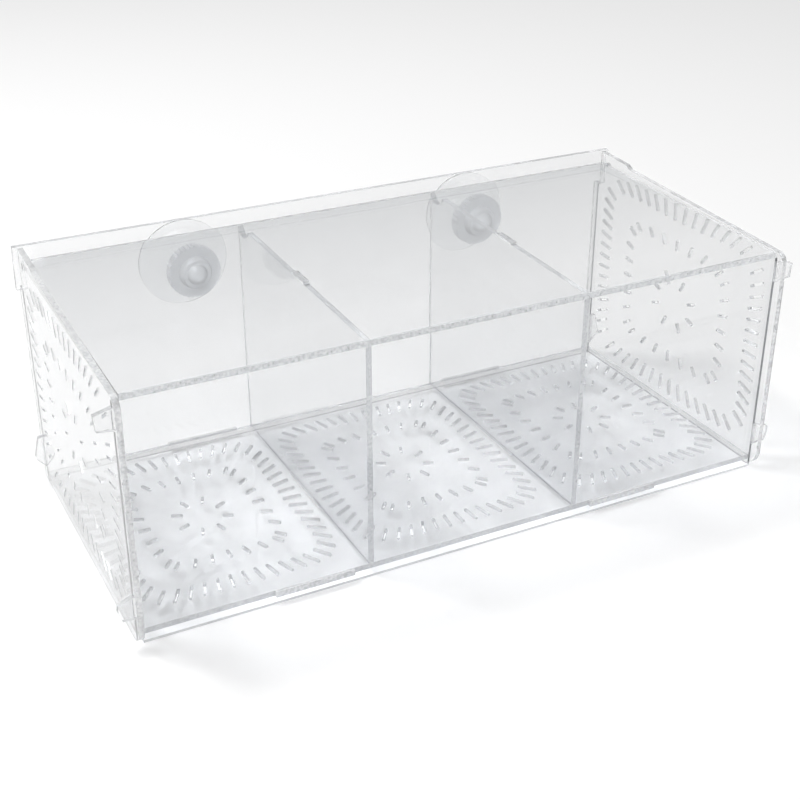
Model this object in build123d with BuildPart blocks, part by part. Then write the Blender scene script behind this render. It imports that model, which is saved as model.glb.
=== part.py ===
# Clear hang-on breeding box for small fish: laser-cut sheet panels locked by
# tabs and slots, a hinged lid, two lift-out dividers and two suction cups.
#
# Frame: millimetres, +Z up, X along the box, the front panel faces -Y.
# The origin is on the plane of the bottom edges, midway between the two end
# panels, and midway between their front edges and the suction cups' rims.
import os
from math import atan2, cos, degrees, pi, radians, sin, tan

from build123d import *

# ---- sheet and overall size -------------------------------------------------
sheet = 2.5            # thickness of every flat panel
length = 300.0         # over the outer faces of the end panels
depth = 145.0          # front to rear edge of an end panel
front_height = 105.0   # top edge of the front panel
back_rise = 10.5       # the back panel stands this much higher
inset = 3.5            # front and back panels stand this far inside the end panel edges
slot_gap = 0.1         # free play round a tab in its slot
cup_depth = 11.0       # the suction cups' rims stand this far behind the back panel

back_height = front_height + back_rise
end_in = length / 2 - sheet        # inner face of an end panel
end_out = length / 2               # outer face of an end panel
front_edge = -(depth - inset + cup_depth) / 2    # front edge of an end panel
rear_edge = front_edge + depth
mid_y = (front_edge + rear_edge) / 2
front_out = front_edge + inset     # outer face of the front panel
front_in = front_out + sheet
back_out = rear_edge - inset       # outer face of the back panel
back_in = back_out - sheet

# ---- floor ------------------------------------------------------------------
floor_low = 3.0                    # underside of the floor above the bottom edges
floor_top = floor_low + sheet
floor_play = 0.1                   # floor to wall gap all round
floor_tab_x = length / 4           # tab centres, one pair in each long wall
floor_tab_len = 34.5

# ---- lid and its pivot ------------------------------------------------------
lid_slope = radians(1.1)           # the closed lid rises gently to the rear
lid_side_gap = 0.5                 # lid to end panel, each side
lid_rear_gap = 2.3                 # lid's rear edge to the back panel
lid_len = back_in - front_out - lid_rear_gap
lug_back = 3.7                     # pivot centre ahead of the lid's rear edge
lug = 2.5                          # square lug, cut from the same sheet
pivot_hole = 3.7                   # hole for the turning lug
lug_short = 0.1                    # lug end stops short of the outer face
pivot_v = lid_len - lug_back
pivot_y = front_out + pivot_v * cos(lid_slope) - sheet / 2 * sin(lid_slope)
pivot_z = front_height + pivot_v * sin(lid_slope) + sheet / 2 * cos(lid_slope)

# ---- dividers ---------------------------------------------------------------
divider_x = (2 * end_in - 2 * sheet) / 6 + sheet / 2   # three equal compartments
divider_play = 0.25                # divider edge to front and back wall
divider_top_gap = 0.2              # divider to the underside of the closed lid
foot_len = 33.0                    # tab through the floor
foot_shift = 1.0                   # its middle is this far behind the box's middle
crest_len = 12.0                   # tab through the lid
crest_shift = -2.7
foot_y0 = mid_y + foot_shift - foot_len / 2
foot_y1 = mid_y + foot_shift + foot_len / 2
crest_y0 = mid_y + crest_shift - crest_len / 2
crest_y1 = mid_y + crest_shift + crest_len / 2
crest_slot_gap = 0.4               # lid slot longer than the tab, each end
crest_side_gap = 0.25              # lid slot wider than the sheet, each side
relief_r = 6.0                     # hollow that clears the lid's swinging rear edge

# ---- end panel outline ------------------------------------------------------
side_over_front = 2.2              # its top edge above the front panel, at the front
side_climb = 4.9                   # rise of that edge up to the ear
ear_len = 31.5                     # the ear starts this far ahead of the rear edge
ear_step_len = 5.0                 # run of the curved step up to the ear
ear_below_back = 1.6               # ear under the back panel's top edge, after the step
ear_rear_below_back = 0.6          # and where it meets the back panel
shoulder_height = 19.5             # height of the back panel's shoulders
side_front_z = front_height + side_over_front
side_rear_y = rear_edge - ear_len
side_rear_z = side_front_z + side_climb
ear_y = side_rear_y + ear_step_len
ear_z = back_height - ear_below_back
ear_rear_z = back_height - ear_rear_below_back
step_z = back_height - shoulder_height    # the shoulders sit on this step
front_top_r = 5.0
front_low_r = 9.0

# ---- tabs of the long walls in the end panels -------------------------------
# Each outline is (reach past the outer face, height) from the root up.
front_high_tab = [
    (0.0, front_height - 11.5),
    (6.2, front_height - 10.7),
    (6.8, front_height - 4.2),
    (0.0, front_height - 2.4),
]
front_low_tab = [(0.0, 11.8), (4.6, 12.2), (6.0, 16.5), (5.7, 19.4), (0.0, 21.9)]
back_low_tab = [(0.0, 8.0), (3.9, 12.4), (4.3, 13.8), (2.2, 23.2), (0.0, 23.5)]
shoulder_reach_low = 2.4
shoulder_reach_top = 1.9

# ---- slot ornament ----------------------------------------------------------
# Squarish rings of slots round a core, every slot pointing at the middle.
slot_w = 1.3
outer_slot, inner_slot, core_slot = 8.4, 5.4, 5.0    # slot lengths
ring_power = 8                     # how squarely the rings turn their corners
core_count = 8
ring_side_count = 14               # slots on a side of an outer ring
floor_end_count = 13               # fewer on the floor rings' short sides
inner_ring_count = 7
side_span = 0.84                   # share of a side that its row of slots covers
floor_span = 0.86
inner_share = 0.64                 # inner ring to outer ring
side_mid_z = front_height / 2 + 4.0
side_margin_u, side_margin_v = 15.1, 8.1    # outer ring in from the panel's edges
side_half = (depth / 2 - side_margin_u, front_height / 2 - side_margin_v)
side_core_half = (14.6, 11.8)
compartment_x = 2 * divider_x      # centres of the outer compartments
floor_margin_u, floor_margin_v = 8.8, 14.7  # and from a compartment's walls
floor_half = (divider_x - floor_margin_u, (back_in - front_in) / 2 - floor_margin_v)
floor_core_half = (10.8, 13.0)

# ---- suction cups, studs and thumb nuts -------------------------------------
cup_x = 74.0
cup_drop = 15.0                    # centre below the front panel's top edge
cup_z = front_height - cup_drop
cup_r = 21.0
bell_r = 17.2                      # where the bell meets its thin flange
neck_r = 7.0
neck_len = 2.6
crown_len = 7.0                    # solid middle of the cup
flange_t = 1.0
bell_t = 1.7
hollow_r = 5.0                     # flat middle of the hollow side
stud_r = 2.5
stud_head_r = 5.0
stud_head_y0, stud_head_y1 = 3.0, 5.0    # moulded-in head, behind the panel
stud_hole_r = 3.0
stud_reach = 8.0                   # stud inside the nut, ahead of the panel
nut_play = 0.05                    # stud to nut bore, radial
nut_r = 12.3
nut_valley_r = 11.6
nut_teeth = 36
nut_ring_t = 5.0
nut_boss_r = 7.6
nut_boss_t = 3.0
nut_dome_r = 4.8
nut_dome_t = 3.2
boss_edge = 1.2                    # bevel round the boss, steep below and flat above
boss_edge_in = 0.4
dome_mid_r, dome_mid_t = 3.5, 2.2  # point the dome's curve passes through
dome_tip_r = 1.2                   # flat spot on the dome
nut_bore_depth = 8.6

os.makedirs("parts", exist_ok=True)


def ring_spots(half_u, half_v, count_u, count_v, span):
    """Centres of the slots of one squarish ring."""
    spots = []
    for i in range(count_u):
        u = half_u * span * (2 * i / (count_u - 1) - 1)
        v = half_v * (1 - abs(u / half_u) ** ring_power) ** (1 / ring_power)
        spots += [(u, v), (u, -v)]
    for i in range(count_v):
        v = half_v * span * (2 * i / (count_v - 1) - 1)
        u = half_u * (1 - abs(v / half_v) ** ring_power) ** (1 / ring_power)
        spots += [(u, v), (-u, v)]
    return spots


def core_spots(half_u, half_v):
    """Centres of the innermost ring."""
    turns = [(k + 0.5) * 2 * pi / core_count for k in range(core_count)]
    return [(half_u * cos(a), half_v * sin(a)) for a in turns]


def slot_places(spots, mid_u, mid_v):
    """Placements that point every slot at the middle of its pattern."""
    return [
        Location((mid_u + u, mid_v + v, 0), (0, 0, degrees(atan2(v, u))))
        for u, v in spots
    ]


def cut_pattern(half, core_half, count_u, span, mid_u, mid_v):
    """Cut one complete slot pattern into the sketch being drawn."""
    half_u, half_v = half
    inner_u, inner_v = half_u * inner_share, half_v * inner_share
    outer = ring_spots(half_u, half_v, count_u, ring_side_count, span)
    inner = ring_spots(inner_u, inner_v, inner_ring_count, inner_ring_count, span)
    core = core_spots(*core_half)
    rings = [(outer, outer_slot), (inner, inner_slot), (core, core_slot)]
    for spots, slot_len in rings:
        with Locations(*slot_places(spots, mid_u, mid_v)):
            Rectangle(slot_len, slot_w, mode=Mode.SUBTRACT)


def tab_faces(outline):
    """Outline of a tab on the right and on the left end of a long wall."""
    right = [(end_in - sheet, outline[0][1])]
    right += [(end_out + reach, z) for reach, z in outline]
    right += [(end_in - sheet, outline[-1][1])]
    left = [(-x, z) for x, z in right]
    return right, left


def add_tabs(outline):
    """Add the same tab to both ends of the wall being drawn."""
    for points in tab_faces(outline):
        Polygon(*points, align=None)


def cut_tab_slot(outline, y_low):
    """Slot in an end panel for the root of a tab that is one sheet thick."""
    z_low = outline[0][1]
    z_high = outline[-1][1]
    with Locations((y_low + sheet / 2, (z_low + z_high) / 2)):
        Rectangle(
            sheet + 2 * slot_gap, z_high - z_low + 2 * slot_gap, mode=Mode.SUBTRACT
        )


def cut_floor_slots():
    """Slots in a long wall for the floor's tabs."""
    with Locations(
        (floor_tab_x, floor_low + sheet / 2), (-floor_tab_x, floor_low + sheet / 2)
    ):
        Rectangle(
            floor_tab_len + 2 * slot_gap, sheet + 2 * slot_gap, mode=Mode.SUBTRACT
        )


# ---- front panel ------------------------------------------------------------
with BuildPart() as front_panel:
    with BuildSketch(Plane.XZ.offset(-front_in)):
        with Locations((0, front_height / 2)):
            Rectangle(2 * end_in, front_height)
        add_tabs(front_high_tab)
        add_tabs(front_low_tab)
        cut_floor_slots()
    extrude(amount=sheet)

# ---- back panel -------------------------------------------------------------
with BuildPart() as back_panel:
    with BuildSketch(Plane.XZ.offset(-back_out)):
        with Locations((0, back_height / 2)):
            Rectangle(2 * end_in, back_height)
        shoulder = [
            (0.0, step_z),
            (shoulder_reach_low, step_z),
            (shoulder_reach_top, back_height),
            (0.0, back_height),
        ]
        add_tabs(shoulder)
        add_tabs(back_low_tab)
        cut_floor_slots()
        with Locations((cup_x, cup_z), (-cup_x, cup_z)):
            Circle(stud_hole_r, mode=Mode.SUBTRACT)
    extrude(amount=sheet)


# ---- end panels -------------------------------------------------------------
def end_panel_sketch(plane):
    """Outline, tab slots, pivot hole and slot pattern of one end panel."""
    y_ear_rear = back_in - slot_gap
    slope = (side_rear_z - side_front_z) / (side_rear_y - front_edge)
    with BuildSketch(plane) as outline:
        with BuildLine():
            Line((front_edge + front_low_r, 0), (rear_edge, 0))
            Line((rear_edge, 0), (rear_edge, step_z))
            Line((rear_edge, step_z), (y_ear_rear, step_z))
            Line((y_ear_rear, step_z), (y_ear_rear, ear_rear_z))
            Line((y_ear_rear, ear_rear_z), (ear_y, ear_z))
            Spline(
                (ear_y, ear_z),
                (side_rear_y, side_rear_z),
                tangents=[(-1, -slope), (-1, -slope)],
            )
            corner_z = side_front_z + slope * front_top_r
            Line((side_rear_y, side_rear_z), (front_edge + front_top_r, corner_z))
            RadiusArc(
                (front_edge + front_top_r, corner_z),
                (front_edge, corner_z - front_top_r),
                -front_top_r,
            )
            Line((front_edge, corner_z - front_top_r), (front_edge, front_low_r))
            RadiusArc((front_edge, front_low_r), (front_edge + front_low_r, 0), -front_low_r)
        make_face()
        cut_tab_slot(front_high_tab, front_out)
        cut_tab_slot(front_low_tab, front_out)
        cut_tab_slot(back_low_tab, back_in)
        with Locations((pivot_y, pivot_z)):
            Circle(pivot_hole / 2, mode=Mode.SUBTRACT)
        cut_pattern(side_half, side_core_half, ring_side_count, side_span, mid_y, side_mid_z)
    return outline


with BuildPart() as right_end_panel:
    extrude(end_panel_sketch(Plane.YZ.offset(end_in)).sketch, amount=sheet)

with BuildPart() as left_end_panel:
    extrude(end_panel_sketch(Plane.YZ.offset(-end_out)).sketch, amount=sheet)

# ---- floor ------------------------------------------------------------------
with BuildPart() as floor_panel:
    with BuildSketch(Plane.XY.offset(floor_low)):
        with Locations((0, mid_y)):
            Rectangle(2 * (end_in - floor_play), back_in - front_in - 2 * floor_play)
        with Locations((floor_tab_x, mid_y), (-floor_tab_x, mid_y)):
            Rectangle(floor_tab_len, back_out - front_out)
        with Locations(
            (divider_x, (foot_y0 + foot_y1) / 2), (-divider_x, (foot_y0 + foot_y1) / 2)
        ):
            Rectangle(
                sheet + 2 * slot_gap,
                foot_y1 - foot_y0 + 2 * slot_gap,
                mode=Mode.SUBTRACT,
            )
        for mid_x in (-compartment_x, 0, compartment_x):
            cut_pattern(floor_half, floor_core_half, floor_end_count, floor_span, mid_x, mid_y)
    extrude(amount=sheet)


# ---- dividers ---------------------------------------------------------------
def lid_under(y):
    """Height of the closed lid's underside at a given depth."""
    return front_height + (y - front_out) * tan(lid_slope)


def divider_sketch(plane):
    """Outline of a divider: foot through the floor, crest through the lid."""
    y0 = front_in + divider_play
    y1 = back_in - divider_play
    crest_z = lid_under(crest_y0) + sheet
    with BuildSketch(plane) as outline:
        with BuildLine():
            Polyline(
                (y0, floor_top),
                (foot_y0, floor_top),
                (foot_y0, floor_low),
                (foot_y1, floor_low),
                (foot_y1, floor_top),
                (y1, floor_top),
                (y1, lid_under(y1) - divider_top_gap),
                (crest_y1, lid_under(crest_y1) - divider_top_gap),
                (crest_y1, crest_z),
                (crest_y0, crest_z),
                (crest_y0, lid_under(crest_y0) - divider_top_gap),
                (y0, lid_under(y0) - divider_top_gap),
                close=True,
            )
        make_face()
        with Locations((pivot_y, pivot_z)):
            Circle(relief_r, mode=Mode.SUBTRACT)
    return outline


with BuildPart() as left_divider:
    extrude(divider_sketch(Plane.YZ.offset(-divider_x - sheet / 2)).sketch, amount=sheet)

with BuildPart() as right_divider:
    extrude(divider_sketch(Plane.YZ.offset(divider_x - sheet / 2)).sketch, amount=sheet)

# ---- lid --------------------------------------------------------------------
lid_plane = Plane(
    origin=(0, front_out, front_height),
    x_dir=(1, 0, 0),
    z_dir=(0, -sin(lid_slope), cos(lid_slope)),
)
crest_mid_v = ((crest_y0 + crest_y1) / 2 - front_out) / cos(lid_slope)
with BuildPart() as lid:
    with BuildSketch(lid_plane):
        with Locations((0, lid_len / 2)):
            Rectangle(2 * (end_in - lid_side_gap), lid_len)
        with Locations((0, pivot_v)):
            Rectangle(2 * (end_out - lug_short), lug)
        with Locations((divider_x, crest_mid_v), (-divider_x, crest_mid_v)):
            Rectangle(
                sheet + 2 * crest_side_gap,
                crest_y1 - crest_y0 + 2 * crest_slot_gap,
                mode=Mode.SUBTRACT,
            )
    extrude(amount=sheet)


# ---- suction cups, studs, thumb nuts ----------------------------------------
def turn_frame(x):
    """Plane holding a cup's axis: local x is the radius, local y runs to the rear."""
    return Plane(origin=(x, back_out, cup_z), x_dir=(1, 0, 0), z_dir=(0, 0, 1))


def cup_profile(x):
    """Half section of the soft cup, hollow to the rear."""
    with BuildSketch(turn_frame(x)) as section:
        with BuildLine():
            Polyline(
                (stud_r, 0),
                (neck_r, 0),
                (neck_r, neck_len),
                (bell_r, cup_depth - flange_t),
                (cup_r, cup_depth - flange_t),
                (cup_r, cup_depth),
                (bell_r, cup_depth),
                (bell_r - bell_t, cup_depth - flange_t),
                (hollow_r, crown_len - flange_t),
                (0, crown_len - flange_t),
                (0, stud_head_y1),
                (stud_head_r, stud_head_y1),
                (stud_head_r, stud_head_y0),
                (stud_r, stud_head_y0),
                close=True,
            )
        make_face()
    return section


def stud_profile(x):
    """Half section of the stiff stud with its moulded-in head."""
    with BuildSketch(turn_frame(x)) as section:
        with BuildLine():
            Polyline(
                (0, -sheet - stud_reach),
                (stud_r, -sheet - stud_reach),
                (stud_r, stud_head_y0),
                (stud_head_r, stud_head_y0),
                (stud_head_r, stud_head_y1),
                (0, stud_head_y1),
                close=True,
            )
        make_face()
    return section


def nut_rim(seat):
    """Toothed outline of the nut's ring."""
    turns = [k * pi / nut_teeth for k in range(2 * nut_teeth)]
    radii = [nut_r, nut_valley_r] * nut_teeth
    with BuildSketch(seat) as outline:
        Polygon(*[(r * cos(a), r * sin(a)) for a, r in zip(turns, radii)], align=None)
    return outline


def nut_cap_profile(x):
    """Half section of the nut's round boss and dome."""
    ring_face = -sheet - nut_ring_t
    boss_face = ring_face - nut_boss_t
    tip = boss_face - nut_dome_t
    with BuildSketch(turn_frame(x)) as section:
        with BuildLine():
            Polyline(
                (dome_tip_r, tip),
                (0, tip),
                (0, ring_face),
                (nut_boss_r, ring_face),
                (nut_boss_r - boss_edge_in, boss_face + boss_edge),
                (nut_boss_r - boss_edge, boss_face),
                (nut_dome_r, boss_face),
            )
            ThreePointArc(
                (nut_dome_r, boss_face),
                (dome_mid_r, boss_face - dome_mid_t),
                (dome_tip_r, tip),
            )
        make_face()
    return section


def nut_bore(seat):
    """Blind bore for the stud."""
    with BuildSketch(seat) as outline:
        Circle(stud_r + nut_play)
    return outline


def nut_seat(x):
    """Plane where a nut bears on the back panel, facing into the box."""
    return Plane(origin=(x, back_in, cup_z), x_dir=(1, 0, 0), z_dir=(0, -1, 0))


def cup_axis(x):
    """Common axis of a cup, its stud and its nut."""
    return Axis((x, back_out, cup_z), (0, 1, 0))


with BuildPart() as left_cup:
    revolve(cup_profile(-cup_x).sketch, axis=cup_axis(-cup_x))

with BuildPart() as right_cup:
    revolve(cup_profile(cup_x).sketch, axis=cup_axis(cup_x))

with BuildPart() as left_stud:
    revolve(stud_profile(-cup_x).sketch, axis=cup_axis(-cup_x))

with BuildPart() as right_stud:
    revolve(stud_profile(cup_x).sketch, axis=cup_axis(cup_x))

with BuildPart() as left_nut:
    extrude(nut_rim(nut_seat(-cup_x)).sketch, amount=nut_ring_t)
    revolve(nut_cap_profile(-cup_x).sketch, axis=cup_axis(-cup_x))
    extrude(nut_bore(nut_seat(-cup_x)).sketch, amount=nut_bore_depth, mode=Mode.SUBTRACT)

with BuildPart() as right_nut:
    extrude(nut_rim(nut_seat(cup_x)).sketch, amount=nut_ring_t)
    revolve(nut_cap_profile(cup_x).sketch, axis=cup_axis(cup_x))
    extrude(nut_bore(nut_seat(cup_x)).sketch, amount=nut_bore_depth, mode=Mode.SUBTRACT)

# ---- output -----------------------------------------------------------------
pieces = {
    "front_panel": front_panel,
    "back_panel": back_panel,
    "left_end_panel": left_end_panel,
    "right_end_panel": right_end_panel,
    "floor_panel": floor_panel,
    "left_divider": left_divider,
    "right_divider": right_divider,
    "lid": lid,
    "left_cup": left_cup,
    "right_cup": right_cup,
    "left_stud": left_stud,
    "right_stud": right_stud,
    "left_nut": left_nut,
    "right_nut": right_nut,
}
for name, piece in pieces.items():
    piece.part.label = name
    export_step(piece.part, f"parts/{name}.step")
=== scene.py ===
"""Looks for a clear slot-together fish breeding box: clear sheet, soft cups, thumb nuts."""
import math

import bpy
from mathutils import Euler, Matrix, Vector

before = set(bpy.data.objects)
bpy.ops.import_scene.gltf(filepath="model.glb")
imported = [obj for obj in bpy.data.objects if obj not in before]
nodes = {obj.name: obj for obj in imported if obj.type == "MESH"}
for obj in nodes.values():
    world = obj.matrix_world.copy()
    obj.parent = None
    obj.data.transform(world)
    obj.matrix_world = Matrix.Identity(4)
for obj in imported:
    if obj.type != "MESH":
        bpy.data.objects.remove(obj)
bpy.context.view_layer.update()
scene = bpy.context.scene

# ---- camera, fitted to the photograph ---------------------------------------
CAMERA_AT = (-0.24952, -0.48935, 0.32520)
CAMERA_YAW = -0.4715       # turned from +Y towards +X
CAMERA_PITCH = 0.4845      # looking down
LENS = 61.0

cam_data = bpy.data.cameras.new("camera")
cam_data.lens = LENS
cam_data.sensor_width = 36.0
cam_data.clip_start = 0.01
cam = bpy.data.objects.new("camera", cam_data)
scene.collection.objects.link(cam)
cam.location = CAMERA_AT
cam.rotation_euler = Euler((math.pi / 2 - CAMERA_PITCH, 0, CAMERA_YAW), "XYZ")
scene.camera = cam

SHEET_TINT = (0.935, 0.937, 0.94)
SHEET_TINT_DEEP = (0.905, 0.908, 0.912)
# painted shade: the lid's colour darkens towards its rear
LID_PAINTED_SHADE_REAR = (0.72, 0.73, 0.74)
# painted shade: the clear floor panel is darkened to stand for the box's shadow on the table under
# it
FLOOR_PANEL_PAINTED_SHADE = (0.68, 0.685, 0.69)
FLOOR_WHITE_SHARE = 0.25   # of plain white in the floor, for the rays that show it
FLOOR_HALF = 3.0
FLOOR_GAP = 0.0006         # under the box, so that the two never share a plane
BOUNCES = 40               # a ray crosses many clear faces
SKY_LIGHT = 0.6
CEILING = 0.45             # how bright the studio is overhead, against white walls
SHEET_IOR = 1.49
MOULDED_IOR = 1.5
PANELS = {
    "front_panel": "Y", "back_panel": "Y",
    "left_end_panel": "X", "right_end_panel": "X",
    "left_divider": "X", "right_divider": "X",
    "floor_panel": "Z", "lid": "Z",
}


class Tree:
    """Short forms for building the nodes of a material or a world."""

    def __init__(self, owner, output="ShaderNodeOutputMaterial"):
        owner.use_nodes = True
        self.owner = owner
        self.tree = owner.node_tree
        self.tree.nodes.clear()
        self.out = self.add(output)

    def add(self, kind, **settings):
        node = self.tree.nodes.new(kind)
        for key, value in settings.items():
            setattr(node, key, value)
        return node

    def put(self, socket, value):
        if isinstance(value, bpy.types.NodeSocket):
            self.tree.links.new(value, socket)
        elif hasattr(value, "__len__") and len(value) == 3 and socket.type == "RGBA":
            socket.default_value = (*value, 1.0)
        else:
            socket.default_value = value

    def math(self, operation, a, b=None):
        node = self.add("ShaderNodeMath", operation=operation)
        self.put(node.inputs[0], a)
        if b is not None:
            self.put(node.inputs[1], b)
        return node.outputs[0]

    def ramp(self, value, low, high, to_low=0.0, to_high=1.0):
        node = self.add("ShaderNodeMapRange", clamp=True)
        for i, v in enumerate((value, low, high, to_low, to_high)):
            self.put(node.inputs[i], v)
        return node.outputs[0]

    def mix(self, factor, a, b):
        node = self.add("ShaderNodeMix", data_type="RGBA")
        self.put(node.inputs[0], factor)
        self.put(node.inputs[6], a)
        self.put(node.inputs[7], b)
        return node.outputs[2]

    def noise(self, scale, detail, vector):
        node = self.add("ShaderNodeTexNoise")
        node.inputs["Scale"].default_value = scale
        node.inputs["Detail"].default_value = detail
        self.put(node.inputs["Vector"], vector)
        return node.outputs["Fac"]


def let_lamps_through(t, surface, colour):
    """Clear plastic throws only a faint shadow, so lamps pass it with this tint."""
    through = t.add("ShaderNodeBsdfTransparent")
    t.put(through.inputs[0], colour)
    rays = t.add("ShaderNodeLightPath")
    both = t.add("ShaderNodeMixShader")
    t.put(both.inputs[0], rays.outputs["Is Shadow Ray"])
    t.put(both.inputs[1], surface)
    t.put(both.inputs[2], through.outputs[0])
    t.put(t.out.inputs["Surface"], both.outputs[0])


def clear_sheet(name, axis):
    """Clear cast sheet: glassy faces, and laser-cut edges that are faintly frosted."""
    t = Tree(bpy.data.materials.new(name))
    coords = t.add("ShaderNodeTexCoord")
    split = t.add("ShaderNodeSeparateXYZ")
    t.put(split.inputs[0], coords.outputs["Normal"])
    along = t.math("ABSOLUTE", split.outputs[axis])
    cut_edge = t.ramp(along, 0.9, 0.6)
    smear = t.noise(60.0, 3.0, coords.outputs["Object"])
    glass = t.add("ShaderNodeBsdfPrincipled")
    tint = t.mix(smear, SHEET_TINT_DEEP, SHEET_TINT)
    if name == "clear_lid":
        place = t.add("ShaderNodeSeparateXYZ")
        t.put(place.inputs[0], coords.outputs["Generated"])
        # painted shade: the lid's colour darkens from its front towards its rear
        tint = t.mix(t.ramp(place.outputs["Y"], 0.15, 1.0), tint, LID_PAINTED_SHADE_REAR)
    if name == "clear_floor_panel":
        # painted shade: the floor panel is darkened for the box's shadow on the table under it,
        # mixed with random tone from the noise
        tint = t.mix(smear, FLOOR_PANEL_PAINTED_SHADE, SHEET_TINT_DEEP)
    t.put(glass.inputs["Base Color"], tint)
    glass.inputs["IOR"].default_value = SHEET_IOR
    glass.inputs["Transmission Weight"].default_value = 1.0
    t.put(glass.inputs["Roughness"], t.ramp(smear, 0.3, 0.8, 0.0, 0.03))
    streaks = t.noise(900.0, 2.0, coords.outputs["Object"])
    frost = t.add("ShaderNodeBsdfPrincipled")
    t.put(frost.inputs["Base Color"], t.mix(streaks, (0.74, 0.745, 0.75), (0.92, 0.922, 0.925)))
    frost.inputs["Roughness"].default_value = 0.35
    surface = t.add("ShaderNodeMixShader")
    t.put(surface.inputs[0], t.math("MULTIPLY", cut_edge, t.ramp(streaks, 0.3, 0.7, 0.28, 0.42)))
    t.put(surface.inputs[1], glass.outputs[0])
    t.put(surface.inputs[2], frost.outputs[0])
    shade = t.mix(cut_edge, (0.87, 0.875, 0.885), (0.22, 0.225, 0.235))
    let_lamps_through(t, surface.outputs[0], shade)
    depth = t.add("ShaderNodeVolumeAbsorption")
    depth.inputs["Color"].default_value = (0.82, 0.835, 0.845, 1.0)
    depth.inputs["Density"].default_value = 14.0
    t.put(t.out.inputs["Volume"], depth.outputs[0])
    return t.owner


def moulded(name, roughness, milk):
    """Clear moulded plastic, hard or soft, with a little haze."""
    t = Tree(bpy.data.materials.new(name))
    coords = t.add("ShaderNodeTexCoord")
    flow = t.noise(300.0, 3.0, coords.outputs["Object"])
    bump = t.add("ShaderNodeBump")
    bump.inputs["Strength"].default_value = 0.06
    bump.inputs["Distance"].default_value = 0.0005
    t.put(bump.inputs["Height"], flow)
    glass = t.add("ShaderNodeBsdfPrincipled")
    t.put(glass.inputs["Base Color"], t.mix(flow, (0.975, 0.98, 0.985), (1.0, 1.0, 1.0)))
    glass.inputs["IOR"].default_value = MOULDED_IOR
    glass.inputs["Transmission Weight"].default_value = 1.0
    t.put(glass.inputs["Roughness"], t.ramp(flow, 0.3, 0.8, roughness * 0.5, roughness))
    t.put(glass.inputs["Normal"], bump.outputs[0])
    haze = t.add("ShaderNodeBsdfPrincipled")
    t.put(haze.inputs["Base Color"], t.mix(flow, (0.90, 0.91, 0.92), (0.98, 0.98, 0.99)))
    haze.inputs["Roughness"].default_value = 0.3
    surface = t.add("ShaderNodeMixShader")
    surface.inputs[0].default_value = milk
    t.put(surface.inputs[1], glass.outputs[0])
    t.put(surface.inputs[2], haze.outputs[0])
    let_lamps_through(t, surface.outputs[0], (0.88, 0.885, 0.89))
    return t.owner


def dress(node, material):
    node.data.materials.clear()
    node.data.materials.append(material)


for name, axis in PANELS.items():
    dress(nodes[name], clear_sheet(f"clear_{name}", axis))
soft = moulded("soft_clear", 0.05, 0.08)
hard = moulded("hard_clear", 0.02, 0.35)
for side in ("left", "right"):
    dress(nodes[f"{side}_cup"], soft)
    dress(nodes[f"{side}_stud"], hard)
    dress(nodes[f"{side}_nut"], hard)

# ---- floor, lamps and world -------------------------------------------------
floor_mesh = bpy.data.meshes.new("floor")
half = FLOOR_HALF
floor_mesh.from_pydata(
    [(-half, -half, 0), (half, -half, 0), (half, half, 0), (-half, half, 0)],
    [], [(0, 1, 2, 3)],
)
floor = bpy.data.objects.new("floor", floor_mesh)
floor.location.z = -FLOOR_GAP
scene.collection.objects.link(floor)


def background_rays(t):
    """1 for the rays that show the background: to the camera, in mirrors, through glass."""
    rays = t.add("ShaderNodeLightPath")
    mirrored = t.math("MAXIMUM", rays.outputs["Is Transmission Ray"], rays.outputs["Is Glossy Ray"])
    return t.math("MAXIMUM", rays.outputs["Is Camera Ray"], mirrored)


def floor_material():
    """Plain white floor that keeps the shadow, with a share of plain white for those rays."""
    t = Tree(bpy.data.materials.new("floor"))
    diffuse = t.add("ShaderNodeBsdfDiffuse")
    t.put(diffuse.inputs[0], (0.9, 0.9, 0.9))
    white = t.add("ShaderNodeEmission")
    white.inputs["Strength"].default_value = 1.0
    both = t.add("ShaderNodeMixShader")
    t.put(both.inputs[0], t.math("MULTIPLY", background_rays(t), FLOOR_WHITE_SHARE))
    t.put(both.inputs[1], diffuse.outputs[0])
    t.put(both.inputs[2], white.outputs[0])
    t.put(t.out.inputs["Surface"], both.outputs[0])
    return t.owner


dress(floor, floor_material())


def lamp(name, at, aim, size, power):
    data = bpy.data.lights.new(name, "AREA")
    data.shape = "RECTANGLE"
    data.size, data.size_y = size
    data.energy = power
    data.color = (1.0, 1.0, 1.0)
    o = bpy.data.objects.new(name, data)
    scene.collection.objects.link(o)
    o.location = at
    o.rotation_euler = (Vector(aim) - Vector(at)).to_track_quat("-Z", "Y").to_euler()


lamp("key", (-0.5, 0.45, 1.3), (0, 0, 0), (0.22, 0.22), 11.0)
lamp("fill", (-0.3, -1.5, 0.8), (0, 0, 0.05), (1.0, 0.8), 9.0)
scene.cycles.max_bounces = BOUNCES
scene.cycles.transmission_bounces = BOUNCES
scene.cycles.glossy_bounces = BOUNCES
scene.cycles.transparent_max_bounces = BOUNCES

world = bpy.data.worlds.new("world")
scene.world = world
w = Tree(world, "ShaderNodeOutputWorld")
direction = w.add("ShaderNodeTexCoord")
upward = w.add("ShaderNodeSeparateXYZ")
w.put(upward.inputs[0], direction.outputs["Generated"])
studio = w.ramp(upward.outputs["Z"], 0.25, 0.80, 1.0, CEILING)
strength = w.add("ShaderNodeMix", data_type="FLOAT")
w.put(strength.inputs[0], background_rays(w))
w.put(strength.inputs[2], SKY_LIGHT)
w.put(strength.inputs[3], studio)
backdrop = w.add("ShaderNodeBackground")
w.put(backdrop.inputs["Strength"], strength.outputs[0])
w.put(w.out.inputs["Surface"], backdrop.outputs[0])
w.put(backdrop.inputs["Color"], (1.0, 1.0, 1.0))

scene.view_settings.view_transform = "Standard"
